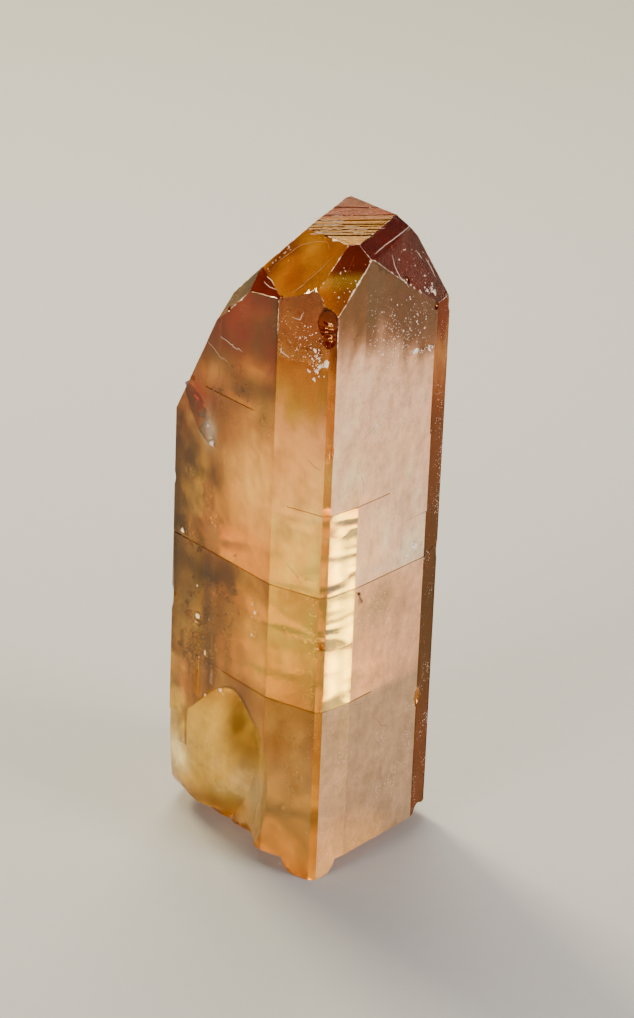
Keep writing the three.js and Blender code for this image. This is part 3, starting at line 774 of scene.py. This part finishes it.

# %% [markdown]
# Small damage and inclusions. Scratches and the rims of healed cracks are hair-thin threads lying in the
# surface; the white threads across the near terrace are growth steps, their white a painted highlight along
# the step edges. Glints inside are tiny cleavage flakes in pale gold and white, bright partly from the lamps
# they mirror and partly from their colour, a painted glint. Drawn as bumps they would vanish from the side,
# so each is a closed form: a thread is a flattened tube swept along a path on a face, a flake a flat
# two-sided pyramid.

# %% Threads on the faces
def on_face(name, places, depth=0.0):
    """Points in mm on a crystal face from pairs (u, z); on the terrace the pairs are (x, y)."""
    number = names.index(name)
    normal = normals[number]
    places = np.asarray(places, dtype=float)
    if name == "terrace":
        return np.stack([places[:, 0], places[:, 1], np.full(len(places), plane[number] - depth)], axis=1)
    flat = math.hypot(normal[0], normal[1])
    out = (plane[number] - depth - normal[2] * places[:, 1]) / flat
    plan = places[:, :1] * across_face[number] + out[:, None] * normal[:2] / flat
    return np.concatenate([plan, places[:, 1:]], axis=1)


def tube(path, facing, width, height, sides=6):
    """A closed tube along a path, flattened against the surface it lies in and drawn in at both ends."""
    along_path = np.gradient(path, axis=0)
    along_path /= np.linalg.norm(along_path, axis=1, keepdims=True)
    side = np.cross(along_path, facing)
    side /= np.linalg.norm(side, axis=1, keepdims=True)
    share = np.linspace(0, 1, len(path))
    swell_here = np.clip(np.sin(np.pi * share), 0.04, 1) ** 0.4
    turn = np.linspace(0, 2 * np.pi, sides, endpoint=False)
    ring = width * np.cos(turn)[None, :, None] * side[:, None, :]
    ring = ring + height * np.sin(turn)[None, :, None] * facing
    places = (path[:, None, :] + swell_here[:, None, None] * ring).reshape(-1, 3)
    index = np.arange(len(places)).reshape(len(path), sides)
    following = np.roll(index, -1, axis=1)
    quads = np.stack([index[:-1], following[:-1], following[1:], index[1:]], axis=-1).reshape(-1, 4)
    return places, [*quads.tolist(), index[0, ::-1].tolist(), index[-1].tolist()]


def join_parts(name, parts, material, smooth=True):
    """One mesh object from many (places in mm, faces) parts, its faces turned outwards."""
    places, faces, start = [], [], 0
    for part_places, part_faces in parts:
        places.append(part_places)
        faces += [[corner + start for corner in face] for face in part_faces]
        start += len(part_places)
    piece = small_piece(name, np.concatenate(places), faces)
    if smooth:
        piece.data.shade_smooth()
    piece.data.materials.append(material)
    print(name, len(piece.data.polygons))


thread_depth = 0.02                     # mm from the face's plane down to a thread's middle


def thread(face, places, width, wander=0.06, seed=1):
    """A thread along a given path on a face, with a little wander added between its points."""
    places = np.asarray(places, dtype=float)
    steps = np.concatenate([[0], np.cumsum(np.linalg.norm(np.diff(places, axis=0), axis=1))])
    count = max(5, int(steps[-1] / 0.12))
    where_on = np.linspace(0, steps[-1], count)
    fine = np.stack([np.interp(where_on, steps, places[:, i]) for i in range(2)], axis=1)
    chance = np.random.default_rng(seed)
    jitter = np.cumsum(chance.normal(0, 1, fine.shape), axis=0)
    jitter -= jitter[0] + (jitter[-1] - jitter[0]) * np.linspace(0, 1, count)[:, None]
    fine += wander * jitter / math.sqrt(count)
    facing = normals[names.index(face)]
    return tube(on_face(face, fine, thread_depth), facing, 0.6 * width, 0.45 * width)


def two_tone(name, scale, detail, low_tone, high_tone, bump=0.0, **finish):
    """A material of two colours mixed over noise, with the given Principled values."""
    material, tree = new_material(name)
    noise = add(tree, "TexNoise", Vector=millimetres(tree), Scale=scale, Detail=detail).outputs["Fac"]
    blend = add(tree, "MixRGB", Fac=noise, Color1=linear(low_tone), Color2=linear(high_tone))
    if bump:
        finish["Normal"] = add(tree, "Bump", Strength=bump, Distance=0.03 * mm, Height=noise).outputs[0]
    surface = add(tree, "BsdfPrincipled", Base_Color=blend.outputs[0], IOR=1.62, **finish)
    add(tree, "OutputMaterial", Surface=surface.outputs[0])
    return material


bruised = two_tone("bruised_topaz_and_step_highlights", 6.0, 3.0, "#F0C8A0", "#FFF6E8", bump=0.6, Roughness=0.4,
                   Transmission_Weight=0.25)
stained = two_tone("iron_stained_crack", 4.0, 3.0, "#5A1E08", "#A8541C", Roughness=0.35,
                   Transmission_Weight=0.5)

chance = np.random.default_rng(5)
white_threads = [thread(*row) for row in [      # face, path, width and wander, in mm
    ("gold", [(2.3, 42.2), (2.9, 42.1), (3.5, 41.9)], 0.035),
    ("gold", [(2.4, 41.9), (3.2, 41.75), (3.9, 41.8)], 0.03),
    ("front_dome", [(1.0, 44.6), (0.75, 44.1), (0.4, 43.4)], 0.03),
    ("steep_right", [(-5.6, 44.5), (-2.6, 44.5), (2.2, 44.4)], 0.035, 0.12),
    ("steep_right", [(-3.0, 43.8), (-3.3, 43.1), (-3.2, 42.5), (-2.4, 41.5)], 0.045, 0.2),
    ("steep_right", [(1.2, 43.0), (1.6, 42.3)], 0.03, 0.1),
    ("steep_right", [(2.2, 42.2), (2.5, 41.3), (2.6, 40.8)], 0.035, 0.15),
    ("left_strip", [(3.3, 40.4), (3.9, 40.3), (4.2, 40.9)], 0.03, 0.1),
    ("left_strip", [(2.2, 38.2), (2.5, 37.8), (3.2, 37.5)], 0.05, 0.2),
    ("left_strip", [(2.3, 37.4), (2.5, 37.8), (2.6, 38.5)], 0.04, 0.1),
    ("broad_left", [(-1.7, 37.0), (-0.6, 36.7), (0.8, 36.6)], 0.035, 0.25),
    ("broad_left", [(-3.2, 36.2), (-1.9, 35.6), (-0.9, 35.4)], 0.02, 0.2),
    ("broad_right", [(-4.4, 31.9), (-3.4, 32.2), (-1.8, 32.9)], 0.04, 0.2),
    ("broad_right", [(0.3, 36.6), (1.6, 36.5), (3.4, 36.7)], 0.04, 0.25),
]]
for number in range(26):                # growth steps across the near terrace, white as a painted highlight along their edges
    start_y = -5.4 + 0.17 * number + chance.uniform(-0.1, 0.1)
    start_x, reach_x = chance.uniform(-1.6, 0.6), chance.uniform(1.2, 3.4)
    ends = [(start_x, start_y), (start_x + reach_x, start_y + 0.22 * reach_x)]
    white_threads.append(thread("terrace", ends, 0.026, wander=0.25, seed=number))
# The terrace steps' white is a painted highlight; the other threads are scratches and bruised rims.
join_parts("scratches_and_step_highlights", white_threads, bruised)

dark_threads = [thread(*row) for row in [
    ("gold", [(6.5, 44.3), (6.35, 43.7), (6.2, 43.2), (5.8, 42.4), (5.4, 41.9)], 0.035, 0.15),
    ("gold", [(5.9, 44.6), (5.2, 44.9), (4.2, 44.7), (3.1, 44.2), (2.4, 43.2), (2.2, 42.4)], 0.025),
    ("left_strip", [(3.4, 23.1), (4.0, 22.6), (4.7, 22.0)], 0.035, 0.15),
    ("left_strip", [(4.9, 30.9), (5.5, 30.4), (6.1, 30.3)], 0.03, 0.1),
    ("front_strip", [(-5.9, 30.4), (-5.4, 30.0), (-4.6, 29.6)], 0.035, 0.1),
    ("broad_right", [(-4.6, 29.7), (-4.0, 28.9), (-3.8, 28.3), (-3.9, 27.7)], 0.04, 0.1),
    ("broad_right", [(-4.5, 31.7), (-3.5, 32.1), (-2.2, 32.8)], 0.04, 0.15),
    ("broad_right", [(-4.3, 12.5), (-3.8, 12.3), (-2.6, 12.0)], 0.035, 0.15),
    ("broad_right", [(-1.8, 10.8), (-0.4, 9.6), (0.7, 8.9)], 0.045, 0.2),
    ("broad_right", [(-0.6, 30.6), (0.6, 31.4), (2.2, 31.9)], 0.02, 0.3),
]]
join_parts("stained_cracks", dark_threads, stained)


# %% Flakes inside
def flake(middle, radius, thickness, axis, chance, sides=7):
    """A flat two-sided pyramid with a ragged rim: a chip of cleavage inside the stone."""
    axis = axis / np.linalg.norm(axis)
    helper = np.cross(axis, [0.3, 0.5, 0.81])
    helper /= np.linalg.norm(helper)
    other = np.cross(axis, helper)
    turn = np.linspace(0, 2 * np.pi, sides, endpoint=False)
    size = radius * chance.uniform(0.5, 1.2, sides)
    rim = middle + size[:, None] * (np.cos(turn)[:, None] * helper + np.sin(turn)[:, None] * other)
    places = np.concatenate([rim, [middle + axis * thickness, middle - axis * thickness]])
    faces = [[i, (i + 1) % sides, sides] for i in range(sides)]
    faces += [[(i + 1) % sides, i, sides + 1] for i in range(sides)]
    return places, faces


def inside(places, margin):
    """True for the places that lie inside all the planes of the crystal by at least a margin."""
    return (places @ normals.T < plane - margin).all(axis=1)


# Painted glints: the flakes are pale gold and white so that they shine.
glint = two_tone("cleavage_glint", 2.0, 2.0, "#FFC870", "#FFFAE8", Roughness=0.15)


def scatter(face, pairs, deepest, radius, roundness=0.1, lean=0.5, shallow=0.1):
    """Flakes under a face at (u, z) pairs, most of them tilted towards it."""
    normal = normals[names.index(face)]
    middles = on_face(face, pairs) - normal * chance.uniform(shallow, deepest, len(pairs))[:, None]
    found = []
    for middle in middles[inside(middles, min(0.08, shallow - 0.005))]:
        size = radius * math.exp(chance.normal(0, 0.45))
        found.append(flake(middle, size, size * roundness, normal + chance.normal(0, lean, 3), chance))
    return found


def cloud_of(middle, spread, count):
    """Pairs scattered normally round a middle."""
    across = chance.normal(middle[0], spread[0], count)
    return np.stack([across, chance.normal(middle[1], spread[1], count)], axis=1)


def veil(path, spread, count):
    """Pairs strewn along a path, as the bubbles of a healed crack are."""
    path = np.asarray(path, dtype=float)
    steps = np.linspace(0, 1, len(path))
    share = chance.uniform(0, 1, count)
    pairs = np.stack([np.interp(share, steps, path[:, i]) for i in range(2)], axis=1)
    return pairs + chance.normal(0, spread, (count, 2))


def frosted(face, pairs, radius, roundness=0.5):
    """Grains lying in the surface of a face."""
    return scatter(face, pairs, 0.02, radius, roundness, lean=0.3, shallow=-0.01)


golden = [
    *scatter("broad_left", cloud_of((-4.0, 14.0), (1.1, 1.6), 80), 1.2, 0.16, 0.7),
    *scatter("broad_left", cloud_of((-3.4, 12.6), (1.2, 0.7), 60), 0.8, 0.14, 0.6),
    *scatter("broad_left", cloud_of((-1.0, 17.6), (1.4, 1.5), 60), 1.4, 0.13, 0.5),
    *scatter("broad_left", cloud_of((2.9, 18.6), (0.2, 0.9), 20), 0.6, 0.18, 0.3),
    *scatter("broad_left", cloud_of((-4.8, 21.3), (0.9, 0.5), 34), 0.5, 0.12, 0.5),
    *scatter("broad_left", veil([(-5.2, 26.2), (-3.4, 25.2), (-2.0, 23.2)], 0.35, 70), 0.8, 0.09),
    *scatter("broad_left", veil([(-5.6, 33.6), (-2.0, 32.4), (0.6, 30.9), (2.6, 30.0)], 0.22, 140),
             0.4, 0.055),
    *scatter("broad_left", veil([(-0.4, 35.2), (1.6, 33.4), (3.8, 31.6)], 0.5, 150), 0.5, 0.055),
    *scatter("left_strip", veil([(2.6, 27.6), (3.4, 25.6), (5.6, 25.0)], 0.14, 90), 0.2, 0.055),
    *scatter("left_strip", cloud_of((3.4, 28.0), (0.7, 1.6), 120), 0.6, 0.045),
    *scatter("left_strip", cloud_of((5.3, 22.6), (0.25, 0.5), 20), 0.4, 0.12, 0.4),
    *scatter("left_strip", cloud_of((4.6, 7.4), (0.35, 0.9), 20), 0.4, 0.13, 0.4),
    *scatter("left_strip", cloud_of((4.2, 12.0), (0.9, 5.0), 80), 0.8, 0.05),
    *scatter("left_strip", cloud_of((5.9, 17.4), (0.15, 6.0), 70), 0.25, 0.06, 0.4),
]
join_parts("glints", golden, glint, smooth=False)
frost = [
    *frosted("broad_right", cloud_of((-2.6, 35.0), (1.8, 2.2), 600), 0.034),
    *frosted("broad_right", cloud_of((0.6, 38.0), (1.8, 1.6), 220), 0.034),
    *frosted("broad_right", cloud_of((-1.0, 26.0), (2.4, 6.0), 160), 0.045),
    *frosted("broad_right", cloud_of((2.0, 22.3), (0.6, 0.3), 24), 0.10, 0.3),
    *frosted("broad_right", veil([(0.5, 36.7), (3.5, 36.5)], 0.12, 40), 0.06, 0.4),
    *frosted("left_strip", cloud_of((4.8, 38.8), (0.7, 0.9), 40), 0.04),
    *frosted("left_strip", cloud_of((5.5, 37.6), (0.4, 0.6), 45), 0.06),
    *frosted("steep_right", cloud_of((0.4, 42.0), (2.0, 1.2), 60), 0.03),
    *frosted("steep_right", veil([(-3.0, 42.2), (-1.4, 40.8), (1.6, 40.3)], 0.15, 50), 0.07, 0.4),
    *frosted("gold", veil([(2.0, 42.6), (2.4, 43.6), (2.0, 44.4)], 0.12, 26), 0.04),
    *frosted("front_dome", cloud_of((0.4, 42.6), (0.6, 1.2), 40), 0.03),
]
join_parts("frost", frost, bruised, smooth=False)

# %% [markdown]
# Near the left edge a curved crack holds a film of air thin enough to colour light, as oil does on water.
# Its bands of colour follow its thickness: a ramp over warped noise, on a bent and mirror-like sheet.

# %% The iridescent crack
rows, columns = 14, 30
v, w = np.meshgrid(np.linspace(-1, 1, rows), np.linspace(0, 1, columns), indexing="ij")
middle_u = np.interp(w, [0, 0.4, 0.75, 1], [-5.9, -4.6, -3.2, -2.0])
middle_z = np.interp(w, [0, 0.4, 0.75, 1], [32.4, 31.2, 29.6, 28.8])
half_width = 0.75 * np.sin(np.pi * np.clip(w, 0.03, 0.97)) ** 0.7
fan = np.stack([(middle_u + v * half_width * 0.7).ravel(), (middle_z + v * half_width).ravel()], axis=1)
sheet = on_face("broad_left", fan)
bow = 0.16 + 0.2 * v.ravel() ** 2 + 0.2 * w.ravel() + 0.1 * drift(sheet, 1.6, 61)
sheet = sheet - normals[left_face] * bow[:, None]
crack = thin_sheet("iridescent_crack", sheet.reshape(rows, columns, 3), 0.012, wrap=False)
rainbow, tree = new_material("thin_air_film")
thickness = add(tree, "TexNoise", Vector=millimetres(tree), Scale=0.55, Detail=2.0, Distortion=1.2)
bands = add(tree, "ValToRGB", Fac=thickness.outputs["Fac"])
stops = bands.color_ramp.elements
band_colours = ((0.36, "#D8602C"), (0.42, "#E8B860"), (0.47, "#7CB890"), (0.52, "#5C88B8"), (0.57, "#C870A0"),
                (0.62, "#F0A050"))
for place_on, code in band_colours:
    stops.new(place_on).color = linear(code)
stops.remove(stops[-1])
stops.remove(stops[0])
film_body = add(tree, "BsdfPrincipled", Base_Color=bands.outputs["Color"], Roughness=0.2, IOR=2.0,
                Metallic=0.3, Transmission_Weight=0.35)
add(tree, "OutputMaterial", Surface=film_body.outputs[0])
crack.data.materials.append(rainbow)
knob_depth = 0.02
knob = []
for spot, *size, tip, sides in [((-2.4, 29.1), 0.34, 0.12, [0, 0, 0.3], 11),
                                ((-2.9, 30.2), 0.16, 0.05, [0.2, 0, 0.4], 9)]:
    middle = on_face("broad_left", [spot])[0] - knob_depth * normals[left_face]
    knob.append(flake(middle, *size, normals[left_face] + tip, chance, sides))
join_parts("crack_knob", knob, bruised)
